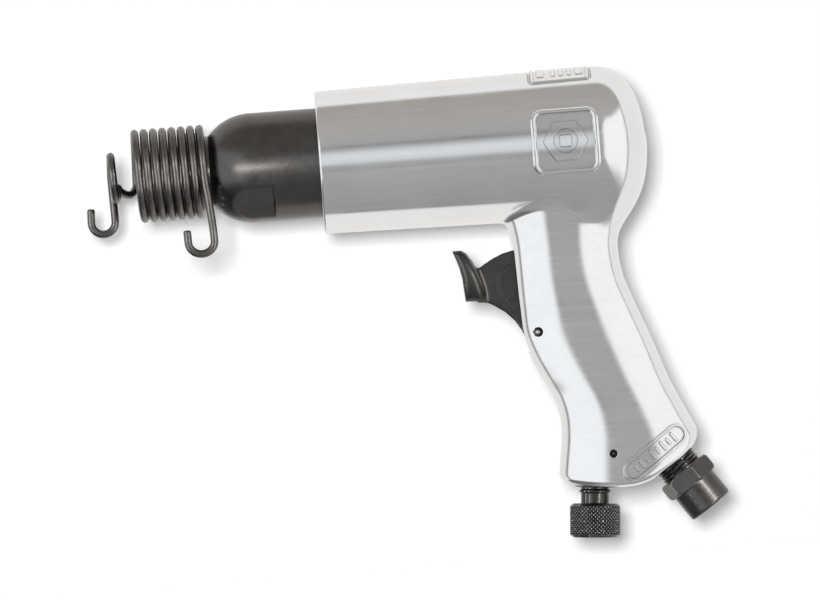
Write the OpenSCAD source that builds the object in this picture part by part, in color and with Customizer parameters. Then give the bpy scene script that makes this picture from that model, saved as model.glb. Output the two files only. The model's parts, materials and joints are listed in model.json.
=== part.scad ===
// Pneumatic air hammer with a pistol grip and a bee-hive retainer spring.
// The origin is on the barrel's axis at the mouth of the tool bore.
// +X runs rearward along the barrel, +Z is up and the grip hangs down.

/* [Barrel] */
// Outer diameter of the barrel
barrel_d = 38.1; // [37:0.1:38.6]
// Diameter of the tool bore, for a .401 inch shank
tool_bore_d = 10.3; // [10.2:0.05:11]
// Length of the tool bore
tool_bore_len = 39; // [34:0.5:40]
// Diameter of the piston bore
piston_bore_d = 19.05; // [18:0.05:20]
// Diameter of the threaded nose under the retainer spring, at the thread's root
nose_d = 26.6; // [25.5:0.1:26.6]
// Distance across the two wrench flats
flat_across = 34.9; // [34:0.1:36]

/* [Housing] */
// Outer diameter of the housing at its front face
housing_front_d = 49.6; // [49:0.1:50]
// Outer diameter of the housing where the dome starts
housing_rear_d = 52.6; // [52:0.1:53]
// Distance from the tool bore's mouth to the housing's front face
housing_front_x = 47; // [46:0.1:48]
// Distance from the tool bore's mouth to the tip of the dome
dome_tip_x = 160.5; // [160:0.1:161]
// Thickness of the raised borders on the badges
badge_rise = 0.8; // [0.5:0.1:1]

/* [Grip] */
// Half thickness of the grip at its waist
grip_half_y = 15.4; // [15:0.1:16]
// Width of the slot that the trigger enters
slot_w = 12.4; // [12:0.1:12.8]

/* [Retainer spring] */
// Diameter of the spring wire
wire_d = 2.75; // [2.5:0.05:2.8]
// Mean diameter of the spring's body coils
coil_mean_d = 30; // [29.8:0.1:30.4]
// Distance from one coil to the next
coil_pitch = 3.23; // [3.1:0.01:3.3]
// Mean diameter of the small front loop
loop_mean_d = 15.3; // [15:0.1:16]

/* [Trigger] */
// Width of the finger pad
pad_w = 20; // [18:0.5:22]
// Width of the trigger's web
web_w = 11.4; // [11:0.1:11.6]

/* [Regulator] */
// Diameter of the regulator's knob
knob_d = 17.5; // [16:0.1:18]
// Length of the regulator's knob
knob_len = 11.8; // [10:0.1:12]

/* [Hidden] */
$fn = 64;
eps = 0.02;
aluminium = [0.78, 0.78, 0.79];
black_steel = [0.16, 0.15, 0.15];
bright_steel = [0.62, 0.62, 0.64];
brass = [0.72, 0.58, 0.30];
rubber = [0.08, 0.08, 0.08];

// Barrel stations along X
nose_x = -1;
neck_x = 7;
ball_x = 23.6;
barrel_r = barrel_d / 2;
neck_r = 12.1;
relief_x = 70;
relief_r = 17.6;
port_x = 86;
collar_x = 93;
collar_r = 20.2;
collar_end_x = 96.6;
thread_r = 18.6;
barrel_end_x = 120;
flat_front_x = 10;
flat_rear_x = 30.5;
return_hole_r = 1.6;
return_hole_y = 14.2;
return_port_x = 45;

// Housing stations along X
front_bore_r = 21;
shoulder_x = 98;
pocket_r = 18.2;
pocket_end_x = 134.5;
chamber_r = 13.5;
chamber_end_x = 147;
dome_x = 143.5;

// Valve box stations along X
block_end_x = 127;
cap_end_x = 132.6;
disc_r = 8.9;
disc_t = 1.4;
disc_chamber_r = 9;
disc_chamber_x = 124.4;
dowel_r = 1.25;
dowel_y = 14.6;

// Piston
piston_clearance = 0.03;
piston_front_x = 80.5;
piston_rear_x = 118.5;

// Trigger and throttle
pivot = [118.4, 0, -64.4];
pivot_pin_r = 1.7;
throttle_z = -50;
slot_rear_x = 122.6;
throttle_bore_r = 6;
bushing_end_x = 133;
spring_rear_x = 145;
stem_r = 2;
plunger_tip_x = 119.1;
face_x = 133;
face_t = 1.6;
head_t = 2;
head_r = 5;

// Regulator: its own axis, upward, from a point on the grip's bottom face
reg_foot = [134.1, 0, -120.4];
reg_tilt = 4.3;
reg_bore_r = 7.05;
reg_seat_s = 46.3;
reg_pin_r = 1.35;
reg_pin_pos = [141.2, 0, -108.4];
reg_ring_s = 25.5;
reg_ring_wire_r = 0.93;
reg_ring_mean_r = 6.1;

// Inlet: its own axis, outward, from a point on the grip's lower rear face
inlet_foot = [162.7, 0, -113.1];
inlet_tilt = 145;
inlet_thread_r = 7.8;
inlet_depth = 13;
inlet_bore_r = 5.6;
hex_across = 17.46;

// Turns a shape built up +Z so that it runs along +X from x
module along_x(x = 0) {
    translate([x, 0, 0])
        rotate([0, 90, 0])
            children();
}

// Stands a shape built up +Z on the regulator's axis
module on_regulator() {
    translate(reg_foot)
        rotate([0, reg_tilt, 0])
            children();
}

// Stands a shape built up +Z on the inlet's outward axis
module on_inlet() {
    translate(inlet_foot)
        rotate([0, inlet_tilt, 0])
            children();
}

// Extrudes an outline drawn as [x, z] to a plate of thickness w about the middle
module side_plate(outline, w) {
    rotate([90, 0, 0])
        linear_extrude(height = w, center = true)
            polygon(outline);
}

// Cylinder across the tool at p
module cross_pin(p, r, len) {
    translate(p)
        rotate([90, 0, 0])
            cylinder(r = r, h = len, center = true);
}

// Points on an arc in the plane, from angle a0 to a1
function arc(c, r, a0, a1, n) = [
    for (i = [0:n])
        let (a = a0 + (a1 - a0) * i / n)
            [c[0] + r * cos(a), c[1] + r * sin(a)]
];

// Rounded rectangle-like section of the grip: x from front to back, y to +-half
function grip_section(front, back, half, n = 32) = [
    for (i = [0:n - 1])
        let (
            a = 360 * i / n,
            c = cos(a),
            s = sin(a)
        )
            [
                (front + back) / 2 + (back - front) / 2 * sign(c) * pow(abs(c), 0.72),
                half * sign(s) * pow(abs(s), 0.85)
            ]
];

// Grip sections from top to bottom: [z, front x, back x, half thickness]
grip_sections = [
    [-14, 110.2, 155.5, grip_half_y + 0.6],
    [-26, 110.0, 150.3, grip_half_y],
    [-38, 111.3, 148.3, grip_half_y],
    [-55, 111.9, 152.2, grip_half_y],
    [-68, 113.3, 157.1, grip_half_y + 0.3],
    [-88, 122.2, 164.6, grip_half_y + 0.9],
    [-104, 123.6, 171.8, grip_half_y + 1.3],
    [-122, 120.6, 171.8, grip_half_y + 1.3]
];

module grip_slab(s) {
    translate([0, 0, s[0]])
        linear_extrude(height = 0.02)
            polygon(grip_section(s[1], s[2], s[3]));
}

module grip_stretch(i) {
    hull() {
        grip_slab(grip_sections[i]);
        grip_slab(grip_sections[i + 1]);
    }
}

// What the grip's foot is cut back to: the bottom curve and the inlet's face
grip_foot_outline = [
    [100, -130],
    [100, -90],
    [121, -90],
    [121.8, -116.3],
    [128.9, -119],
    [135.8, -120.1],
    [142.8, -120.5],
    [150, -120],
    [157, -117.2],
    [167.8, -109.6],
    [172, -104.6],
    [172, -90],
    [190, -90],
    [190, -130]
];

module grip_blank() {
    difference() {
        union() {
            for (i = [0:len(grip_sections) - 2])
                grip_stretch(i);
        }
        side_plate(grip_foot_outline, 60);
    }
}

// Cover, dome and chamfered front edge, turned about the barrel's axis
module housing_cover() {
    dome_r = housing_rear_d / 2;
    dome_len = dome_tip_x - dome_x;
    dome_power = 0.87;
    rim = 0.6;
    along_x()
        rotate_extrude($fn = 128)
            polygon([
                [0, housing_front_x],
                [housing_front_d / 2 - rim, housing_front_x],
                [housing_front_d / 2, housing_front_x + rim],
                for (a = [0:9:81])
                    [dome_r * pow(cos(a), dome_power), dome_x + dome_len * pow(sin(a), dome_power)],
                [0, dome_tip_x]
            ]);
}

// Raised square badge on one side of the cover
module side_badge() {
    size = 22.5;
    corner = 3.5;
    centre = [132.7, 0.9];
    intersection() {
        translate([centre[0], 0, centre[1]])
            rotate([90, 0, 0])
                linear_extrude(height = housing_rear_d)
                    rounded_square(size, size, corner);
        badge_skin(badge_rise);
    }
}

// A skin that stands a little above the cover, for the badges
module badge_skin(rise) {
    along_x(100)
        cylinder(r = housing_rear_d / 2 + rise, h = 50, $fn = 128);
}

module rounded_square(w, h, r) {
    union() {
        square([w - 2 * r, h], center = true);
        square([w, h - 2 * r], center = true);
        for (x = [-1, 1], y = [-1, 1])
            translate([x * (w / 2 - r), y * (h / 2 - r)])
                circle(r = r, $fn = 32);
    }
}

// Raised plate on top of the cover
module top_badge() {
    intersection() {
        translate([132.2, 0, 0])
            linear_extrude(height = housing_rear_d)
                rounded_square(20, 29, 2);
        badge_skin(badge_rise * 0.5);
    }
}

// The space swept by the trigger inside the grip
slot_outline = [
    [100, -33.6],
    [slot_rear_x, -33.6],
    [slot_rear_x, -57],
    [124.8, -60],
    [124.8, -68],
    [122, -71],
    [100, -71]
];

module housing_cavities() {
    // exhaust space round the barrel, barrel thread, valve pocket and air chamber
    along_x(housing_front_x - 1)
        cylinder(r = front_bore_r, h = shoulder_x - housing_front_x + 1, $fn = 96);
    along_x(shoulder_x - 1)
        cylinder(r = thread_r, h = barrel_end_x - shoulder_x + 2);
    along_x(barrel_end_x - 1)
        cylinder(r = pocket_r, h = pocket_end_x - barrel_end_x + 1);
    along_x(pocket_end_x - 1)
        cylinder(r = chamber_r, h = chamber_end_x - pocket_end_x + 1);
    // trigger slot and the hinge pin's hole
    side_plate(slot_outline, slot_w);
    cross_pin(pivot, pivot_pin_r, 60);
    // throttle bore and the passage from it up to the air chamber
    translate([0, 0, throttle_z])
        along_x(slot_rear_x - 1)
            cylinder(r = throttle_bore_r, h = spring_rear_x - slot_rear_x + 1);
    translate([128, 0, throttle_z])
        rotate([0, 17, 0])
            cylinder(r = 3.5, h = 46);
    // regulator bore, its pin's hole and the passage up to the throttle
    on_regulator() {
        translate([0, 0, -6])
            cylinder(r = reg_bore_r, h = reg_seat_s + 6);
        cylinder(r = 4, h = 68);
    }
    cross_pin(reg_pin_pos, reg_pin_r, 60);
    // inlet thread and the slanted passage from it to the regulator
    on_inlet() {
        translate([0, 0, -inlet_depth])
            cylinder(r = inlet_thread_r, h = inlet_depth + 20);
        translate([0, 0, -36])
            cylinder(r = 5, h = 36);
    }
}

module housing() {
    color(aluminium)
        difference() {
            union() {
                housing_cover();
                grip_blank();
                side_badge();
                mirror([0, 1, 0])
                    side_badge();
                top_badge();
            }
            housing_cavities();
        }
}

module barrel_blank() {
    ball_start = -asin(sqrt(1 - pow(neck_r / barrel_r, 2)));
    along_x()
        rotate_extrude($fn = 96)
            polygon(concat(
                [
                    [0, nose_x],
                    [nose_d / 2 - 0.8, nose_x],
                    [nose_d / 2, nose_x + 0.8],
                    [nose_d / 2, neck_x],
                    [neck_r, neck_x + 0.6]
                ],
                arc([0, ball_x], barrel_r, ball_start, 0, 14),
                [
                    [barrel_r, relief_x],
                    [relief_r, relief_x + 2],
                    [relief_r, collar_x],
                    [collar_r, collar_x],
                    [collar_r, collar_end_x],
                    [thread_r - 1, collar_end_x],
                    [thread_r - 1, shoulder_x + 1],
                    [thread_r, shoulder_x + 2],
                    [thread_r, barrel_end_x - 1],
                    [thread_r - 1, barrel_end_x],
                    [0, barrel_end_x]
                ]
            ));
}

// Two wrench flats, one facing down to the -Y side and one opposite it
module wrench_flats() {
    cut = 10;
    for (side = [0, 180])
        rotate([side - 45, 0, 0])
            translate([flat_front_x, -cut, -flat_across / 2 - cut])
                cube([flat_rear_x - flat_front_x, 2 * cut, cut]);
}

module barrel() {
    mouth_chamfer = 1;
    color(black_steel)
        difference() {
            barrel_blank();
            wrench_flats();
            along_x(nose_x - 1)
                cylinder(d = tool_bore_d, h = tool_bore_len + 3);
            along_x(nose_x - eps)
                cylinder(
                    d1 = tool_bore_d + 2 * mouth_chamfer + 2 * eps,
                    d2 = tool_bore_d,
                    h = mouth_chamfer + eps
                );
            along_x(tool_bore_len)
                cylinder(d = piston_bore_d, h = barrel_end_x - tool_bore_len + 1, $fn = 96);
            for (a = [45:90:315])
                rotate([a, 0, 0])
                    translate([port_x, 0, 0])
                        cylinder(r = 2.5, h = 30);
            for (y = [-1, 1]) {
                translate([0, y * return_hole_y, 0])
                    along_x(return_port_x)
                        cylinder(r = return_hole_r, h = barrel_end_x);
                translate([return_port_x + return_hole_r, 0, 0])
                    rotate([-90 * y, 0, 0])
                        cylinder(r = return_hole_r, h = return_hole_y);
                translate([0, 0, y * dowel_y])
                    along_x(barrel_end_x - 4)
                        cylinder(r = dowel_r, h = 5);
            }
        }
}

// Retainer spring: the wire's centre line from the rear hook to the front hook
coil_r = coil_mean_d / 2;
coil_steps = 24;
front_top_x = -16.6;
coil_turns = 7;
front_leave = -108;
hook_r = 4.3;

// A point on the body coils, a degrees from the top of the front coil
function coil_point(a) = [
    front_top_x + coil_pitch * a / 360,
    -coil_r * sin(a),
    coil_r * cos(a)
];

rear_hook_x = 4.5;
rear_hook_z = -24.4;
rear_hook_path = concat(
    [[-0.5, -coil_r, -20.8]],
    [
        for (p = arc([rear_hook_x, rear_hook_z], hook_r, -170, 0, 9))
            [p[0] - 0.3 * (rear_hook_x + hook_r - p[0]) / hook_r, -coil_r, p[1]]
    ],
    [
        [8.5, -coil_r, -19],
        [7.7, -coil_r, -10],
        [7.0, -coil_r, -4]
    ]
);
body_path = [
    for (i = [coil_turns * coil_steps + coil_steps / 4:-1:front_leave / 360 * coil_steps])
        coil_point(360 * i / coil_steps)
];

loop_r = loop_mean_d / 2;
loop_start_x = -24.0;
loop_end_x = -26.0;
bridge_path = [
    [-19.4, 12.9, -6.2],
    [-21.5, 10.6, -5.9],
    [-23.3, 8.6, -4.6]
];
loop_path = [
    for (i = [0:22])
        let (
            a = -112 - 338 * i / 22,
            x = loop_start_x + (loop_end_x - loop_start_x) * i / 22
        )
            [x, -loop_r * sin(a), loop_r * cos(a)]
];
front_hook_x = -29.8;
front_hook_z = -15;
front_hook_path = concat(
    [
        [-25.9, loop_r, -5],
        [-25.7, loop_r, -10]
    ],
    [
        for (p = arc([front_hook_x, front_hook_z], hook_r - 0.1, 0, -180, 9))
            [p[0], loop_r, p[1]]
    ],
    [[-33.8, loop_r, -10.7]]
);
retainer_path = concat(rear_hook_path, body_path, bridge_path, loop_path, front_hook_path);

function unit(v) = v / norm(v);

// Direction of the path at point i
function path_dir(path, i) =
    unit(path[min(i + 1, len(path) - 1)] - path[max(i - 1, 0)]);

// A side direction carried along the path without twist
function side_dirs(path, i = 0, v = [0, -1, 0], out = []) =
    i >= len(path)
        ? out
        : let (
              t = path_dir(path, i),
              w = unit(v - t * (v * t))
          )
              side_dirs(path, i + 1, w, concat(out, [w]));

// A round wire swept along a path as one closed solid
module swept_wire(path, r, sides = 8) {
    dirs = side_dirs(path);
    n = len(path);
    points = [
        for (i = [0:n - 1])
            let (
                t = path_dir(path, i),
                u = dirs[i],
                v = cross(t, u)
            )
                for (k = [0:sides - 1])
                    path[i] + r * (cos(360 * k / sides) * u + sin(360 * k / sides) * v)
    ];
    walls = [
        for (i = [0:n - 2], k = [0:sides - 1])
            let (
                a = i * sides + k,
                b = i * sides + (k + 1) % sides
            )
                each [[a, a + sides, b], [b, a + sides, b + sides]]
    ];
    caps = [
        [for (k = [0:sides - 1]) k],
        [for (k = [sides - 1:-1:0]) (n - 1) * sides + k]
    ];
    polyhedron(points = points, faces = concat(walls, caps), convexity = 12);
}

module retainer_spring() {
    color(black_steel)
        swept_wire(retainer_path, wire_d / 2);
}

module piston() {
    r = piston_bore_d / 2 - piston_clearance;
    chamfer = 1;
    color(bright_steel)
        along_x()
            rotate_extrude($fn = 96)
                polygon([
                    [0, piston_front_x],
                    [r - chamfer, piston_front_x],
                    [r, piston_front_x + chamfer],
                    [r, piston_rear_x - chamfer],
                    [r - chamfer, piston_rear_x],
                    [0, piston_rear_x]
                ]);
}

// Holes that both halves of the valve box share
module valve_box_holes() {
    for (z = [-1, 1])
        translate([0, 0, z * dowel_y])
            along_x(barrel_end_x - 1)
                cylinder(r = dowel_r, h = 20);
}

module valve_block() {
    color(bright_steel)
        difference() {
            along_x(barrel_end_x)
                cylinder(r = pocket_r - 0.1, h = block_end_x - barrel_end_x);
            along_x(barrel_end_x - 1)
                cylinder(r = 4.5, h = 10);
            along_x(disc_chamber_x)
                cylinder(r = disc_chamber_r, h = 10);
            valve_box_holes();
            for (y = [-1, 1])
                translate([0, y * return_hole_y, 0])
                    along_x(barrel_end_x - 1)
                        cylinder(r = return_hole_r, h = 10);
        }
}

module valve_disc() {
    rest_gap = 0.1;
    color(bright_steel)
        along_x(disc_chamber_x + rest_gap)
            cylinder(r = disc_r, h = disc_t);
}

module valve_cap() {
    color(bright_steel)
        difference() {
            along_x(block_end_x)
                cylinder(r = pocket_r - 0.1, h = cap_end_x - block_end_x);
            along_x(block_end_x - 1)
                cylinder(r = 4.5, h = 10);
            valve_box_holes();
            for (y = [-1, 1])
                translate([0, y * return_hole_y, 0])
                    along_x(block_end_x - 1)
                        cylinder(r = return_hole_r, h = 4);
        }
}

module valve_washer() {
    color(bright_steel)
        difference() {
            along_x(cap_end_x)
                cylinder(r = pocket_r - 0.3, h = pocket_end_x - cap_end_x);
            along_x(cap_end_x - 1)
                cylinder(r = chamber_r + 0.5, h = 5);
        }
}

module valve_pins() {
    color(bright_steel)
        for (z = [-1, 1])
            translate([0, 0, z * dowel_y])
                along_x(barrel_end_x - 4)
                    cylinder(r = dowel_r, h = 15);
}

module barrel_lock_ring() {
    color(bright_steel)
        difference() {
            along_x(collar_end_x)
                cylinder(r = collar_r, h = shoulder_x - collar_end_x);
            along_x(collar_end_x - 1)
                cylinder(r = thread_r + 0.2, h = 5);
        }
}

// Finger pad of the trigger, side outline
pad_outline = [
    [90.5, -33.9],
    [91.9, -36.9],
    [93.2, -40.2],
    [94.0, -44.2],
    [94.1, -48],
    [94.2, -52.2],
    [101.5, -52.6],
    [101.4, -49.2],
    [100.6, -45.2],
    [99.3, -41.4],
    [97.6, -37.9],
    [95.5, -35.0],
    [93.8, -33.9]
];

// Web of the trigger, side outline, with its round hinge eye
web_outline = concat(
    [
        [99.0, -40.9],
        [103.6, -38.2],
        [107.2, -36.4],
        [111.1, -35.4],
        [113.6, -35.3],
        [116.3, -42],
        [118.7, -47.5],
        [118.9, -54]
    ],
    arc([pivot[0], pivot[2]], 5, 60, -190, 14),
    [
        [112.6, -63.2],
        [110.4, -59.6],
        [107.4, -56.6],
        [104.1, -54.3],
        [101.0, -52.6]
    ]
);

module trigger() {
    recess_pos = [112, 0, -46.8];
    recess_r = 6.5;
    recess_depth = 0.8;
    color(black_steel)
        difference() {
            union() {
                side_plate(pad_outline, pad_w);
                side_plate(web_outline, web_w);
            }
            cross_pin(pivot, pivot_pin_r + 0.05, 40);
            for (side = [-1, 1])
                translate([0, side * (web_w / 2 + 5 - recess_depth), 0])
                    cross_pin(recess_pos, recess_r, 10);
        }
}

// Rolled spring pin with its slot
module roll_pin(p, r, len) {
    difference() {
        cross_pin(p, r, len);
        cross_pin(p, r * 0.55, len + 2);
        translate(p + [0, 0, -r])
            cube([r * 0.3, len + 2, 2 * r], center = true);
    }
}

module trigger_pin() {
    color(bright_steel)
        roll_pin(pivot, pivot_pin_r, 24.2);
}

module throttle_bushing() {
    guide_end_x = 127.5;
    gallery_x = 128;
    gallery_len = 3.4;
    color(brass)
        translate([0, 0, throttle_z])
            difference() {
                along_x(slot_rear_x)
                    cylinder(r = throttle_bore_r, h = bushing_end_x - slot_rear_x);
                along_x(slot_rear_x - 1)
                    cylinder(r = stem_r + 0.05, h = 20);
                along_x(guide_end_x)
                    cylinder(r = 3.6, h = 10);
                // grooves for the two seals and the air gallery
                along_x(124.2)
                    ring_groove(throttle_bore_r, 1.1, 1.6);
                along_x(125.2)
                    cylinder(r = 3.1, h = 1.2);
                along_x(gallery_x)
                    ring_groove(throttle_bore_r, 1, gallery_len);
                for (a = [0:60:300])
                    rotate([a, 0, 0])
                        translate([gallery_x + gallery_len / 2, 0, 0])
                            cylinder(r = 1.3, h = 10);
            }
}

// A square groove cut into a rod of radius r
module ring_groove(r, depth, len) {
    difference() {
        cylinder(r = r + 1, h = len);
        translate([0, 0, -1])
            cylinder(r = r - depth, h = len + 2);
    }
}

module throttle_plunger() {
    color(bright_steel)
        translate([0, 0, throttle_z])
            along_x()
                rotate_extrude($fn = 48)
                    polygon(concat(
                        [[0, plunger_tip_x]],
                        [
                            for (a = [15:15:90])
                                [stem_r * sin(a), plunger_tip_x + stem_r * (1 - cos(a))]
                        ],
                        [
                            [stem_r, face_x + face_t],
                            [head_r, face_x + face_t],
                            [head_r, face_x + face_t + head_t],
                            [2.6, face_x + face_t + head_t],
                            [2.6, face_x + face_t + head_t + 2],
                            [0, face_x + face_t + head_t + 2]
                        ]
                    ));
}

module throttle_face() {
    color(rubber)
        translate([0, 0, throttle_z])
            difference() {
                along_x(face_x + 0.05)
                    cylinder(r = head_r, h = face_t - 0.05);
                along_x(face_x - 1)
                    cylinder(r = stem_r, h = 5);
            }
}

// Throttle return spring, from the plunger's head to the end of the bore
module throttle_spring() {
    wire_r = 0.45;
    front_x = face_x + face_t + head_t + wire_r + 0.05;
    rear_x = spring_rear_x - wire_r - 0.05;
    turns = 4;
    steps = 16;
    path = [
        for (i = [0:turns * steps])
            let (
                f = i / (turns * steps),
                r = 3.5 + 1.4 * f
            )
                [
                    front_x + (rear_x - front_x) * f,
                    r * cos(360 * turns * f),
                    throttle_z + r * sin(360 * turns * f)
                ]
    ];
    color(bright_steel)
        swept_wire(path, wire_r, 6);
}

// O-ring about +Z, centred on z = 0
module o_ring(mean_r, wire_r) {
    rotate_extrude()
        translate([mean_r, 0])
            circle(r = wire_r, $fn = 32);
}

module throttle_o_ring() {
    color(rubber)
        translate([0, 0, throttle_z])
            along_x(125)
                o_ring(throttle_bore_r - 0.53, 0.53);
}

module stem_o_ring() {
    color(rubber)
        translate([0, 0, throttle_z])
            along_x(125.8)
                o_ring(stem_r + 0.57, 0.53);
}

// Regulator stations along its own axis, 0 at the grip's bottom face
module regulator_screw() {
    knob_top = -5.0;
    knob_bottom = knob_top - knob_len;
    knob_r = knob_d / 2;
    chamfer = 1.2;
    stem = 4.87;
    body_r = 7;
    color(black_steel)
        on_regulator()
            rotate_extrude($fn = 96)
                polygon([
                    [0, knob_bottom],
                    [knob_r - chamfer, knob_bottom],
                    [knob_r, knob_bottom + chamfer],
                    [knob_r, knob_top - chamfer],
                    [knob_r - chamfer, knob_top],
                    [stem, knob_top],
                    [stem, 0.8],
                    [body_r - 0.3, 0.8],
                    [body_r, 1.1],
                    [body_r, 7],
                    [4.7, 7],
                    [4.7, 14],
                    [body_r, 14],
                    [body_r, reg_ring_s - 1.1],
                    [5.15, reg_ring_s - 1.1],
                    [5.15, reg_ring_s + 1.1],
                    [body_r, reg_ring_s + 1.1],
                    [body_r, 29],
                    [3.8, 30],
                    [3.8, 38],
                    [5.6, 38.6],
                    [5.6, 41],
                    [4.4, 42],
                    [0, 42]
                ]);
}

module regulator_o_ring() {
    color(rubber)
        on_regulator()
            translate([0, 0, reg_ring_s])
                o_ring(reg_ring_mean_r, reg_ring_wire_r);
}

module regulator_pin() {
    color(bright_steel)
        roll_pin(reg_pin_pos, reg_pin_r, 24);
}

// Inlet bushing: thread neck, hexagon and round end, with a female pipe thread
module inlet_bushing() {
    neck_out = 4;
    hex_len = 6;
    hex_turn = 12;
    end_len = 9.8;
    end_r = 8.2;
    socket_len = 16;
    hole_r = 4.6;
    color(black_steel)
        on_inlet()
            difference() {
                union() {
                    translate([0, 0, -inlet_depth + 0.2])
                        cylinder(r = inlet_thread_r, h = inlet_depth + neck_out);
                    translate([0, 0, neck_out])
                        intersection() {
                            rotate([0, 0, hex_turn])
                                cylinder(d = hex_across / cos(30), h = hex_len, $fn = 6);
                            rotate_extrude()
                                polygon([
                                    [0, 0],
                                    [9.1, 0],
                                    [10.2, 1.1],
                                    [10.2, hex_len - 1.1],
                                    [9.1, hex_len],
                                    [0, hex_len]
                                ]);
                        }
                    translate([0, 0, neck_out + hex_len - 0.5])
                        rotate_extrude()
                            polygon([
                                [0, 0],
                                [end_r, 0],
                                [end_r, end_len - 0.1],
                                [end_r - 0.6, end_len + 0.5],
                                [0, end_len + 0.5]
                            ]);
                }
                translate([0, 0, neck_out + hex_len + end_len - socket_len])
                    cylinder(r = inlet_bore_r, h = socket_len + 1);
                translate([0, 0, -inlet_depth - 1])
                    cylinder(r = hole_r, h = 30);
            }
}

// Strainer cup that stands in the bushing's neck
module inlet_screen() {
    cup_r = 4.55;
    wall = 0.5;
    cup_len = 13;
    slot = 1;
    color(bright_steel)
        on_inlet()
            translate([0, 0, -inlet_depth + 0.3])
                difference() {
                    cylinder(r = cup_r, h = cup_len);
                    translate([0, 0, wall])
                        cylinder(r = cup_r - wall, h = cup_len);
                    for (z = [2.5:2.5:10.5], a = [0:60:120])
                        translate([0, 0, z])
                            rotate([0, 0, a])
                                cube([20, slot, slot], center = true);
                }
}

housing();
barrel();
retainer_spring();
piston();
valve_block();
valve_disc();
valve_cap();
valve_washer();
valve_pins();
barrel_lock_ring();
trigger();
trigger_pin();
throttle_bushing();
throttle_plunger();
throttle_face();
throttle_spring();
throttle_o_ring();
stem_o_ring();
regulator_screw();
regulator_o_ring();
regulator_pin();
inlet_bushing();
inlet_screen();
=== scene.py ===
"""Pneumatic air hammer: polished housing, black barrel, bee-hive retainer spring."""
import json
import math

import bmesh
import bpy
import numpy as np
from mathutils import Matrix, Vector


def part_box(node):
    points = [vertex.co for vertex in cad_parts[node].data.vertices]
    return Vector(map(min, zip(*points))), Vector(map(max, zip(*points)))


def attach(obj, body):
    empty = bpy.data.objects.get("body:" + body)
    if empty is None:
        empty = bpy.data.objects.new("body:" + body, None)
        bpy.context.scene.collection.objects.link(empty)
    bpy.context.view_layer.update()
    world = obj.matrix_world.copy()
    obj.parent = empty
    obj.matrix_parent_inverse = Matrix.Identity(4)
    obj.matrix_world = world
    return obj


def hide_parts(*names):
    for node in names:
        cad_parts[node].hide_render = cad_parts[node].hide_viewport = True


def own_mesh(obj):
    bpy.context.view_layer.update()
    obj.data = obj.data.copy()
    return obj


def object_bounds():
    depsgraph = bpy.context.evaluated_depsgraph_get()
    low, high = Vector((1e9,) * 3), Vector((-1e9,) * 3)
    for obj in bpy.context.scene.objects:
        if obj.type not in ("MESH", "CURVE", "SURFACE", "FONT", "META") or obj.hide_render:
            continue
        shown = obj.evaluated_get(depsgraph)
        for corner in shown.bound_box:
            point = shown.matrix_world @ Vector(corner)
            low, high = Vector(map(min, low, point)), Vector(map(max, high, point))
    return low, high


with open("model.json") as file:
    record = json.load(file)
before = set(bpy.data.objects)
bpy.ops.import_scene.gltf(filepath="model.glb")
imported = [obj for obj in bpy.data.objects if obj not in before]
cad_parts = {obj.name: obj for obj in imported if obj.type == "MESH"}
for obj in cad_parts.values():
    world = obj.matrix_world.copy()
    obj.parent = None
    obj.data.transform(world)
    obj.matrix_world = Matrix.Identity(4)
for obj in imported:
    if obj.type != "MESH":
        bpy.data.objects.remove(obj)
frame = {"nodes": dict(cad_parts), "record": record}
cad_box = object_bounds()

MM = 0.001

# Sizes in millimetres, in the frame's own axes: the barrel lies along X, the grip hangs along -Z
COVER_FRONT_X, DOME_X, DOME_TIP_X = 47.0, 143.5, 160.5
COVER_FRONT_R, COVER_REAR_R = 24.8, 26.3
BARREL_R, BALL_X, NECK_R = 19.05, 23.6, 12.1
FLAT_HALF, FLAT_FRONT_X, FLAT_REAR_X = 17.45, 10.0, 30.5
NOSE_X, NECK_X, NOSE_ROOT_R = -1.0, 7.0, 13.25
THREAD_HEIGHT = 0.34  # stays just under the retainer's coil, which turns on it
PIVOT = (118.4, -64.4)
REGULATOR_PIN = (141.2, -108.4)
THROTTLE_Z = -50.0
WIRE_R, COIL_R, COIL_PITCH, COIL_FRONT_X = 1.375, 15.0, 3.23, -16.6
REG_FOOT, REG_TILT = Vector((134.1, 0, -120.4)), math.radians(4.3)
INLET_FOOT, INLET_TILT = Vector((162.7, 0, -113.1)), math.radians(145)
HEX_ACROSS, HEX_TURN = 17.46, math.radians(12)
SIDE_BADGE, TOP_BADGE_X = (132.6, 0.9), 132.2
FOOT_BADGE, FOOT_BADGE_TILT = (155.5, -109.1), math.radians(36)
TRIGGER_PIN_R, REGULATOR_PIN_R = 1.7, 1.35
TRIGGER_HOLE_R, REGULATOR_HOLE_R = 1.6, 1.38
TRIGGER_BOSS = (112, -46.8)


# ---------------------------------------------------------------- mesh helpers

def new_object(name, mesh):
    obj = bpy.data.objects.new(name, mesh)
    bpy.context.scene.collection.objects.link(obj)
    return obj


def mesh_from(name, points_mm, faces, normals=None):
    """A smooth-shaded mesh object from points in millimetres."""
    mesh = bpy.data.meshes.new(name)
    mesh.from_pydata((np.asarray(points_mm, float) * MM).tolist(), [], faces)
    mesh.update()
    mesh.shade_smooth()
    if normals is not None:
        mesh.normals_split_custom_set_from_vertices(normals.tolist())
    return new_object(name, mesh)


def smooth_min(a, b, k):
    h = np.clip(0.5 + 0.5 * (b - a) / k, 0, 1)
    return b + (a - b) * h - k * h * (1 - h)


def smooth_max(a, b, k):
    return -smooth_min(-a, -b, k)


def step_up(value, start, end):
    """0 before start, 1 after end, smooth between."""
    t = np.clip((value - start) / (end - start), 0, 1)
    return t * t * (3 - 2 * t)


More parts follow.
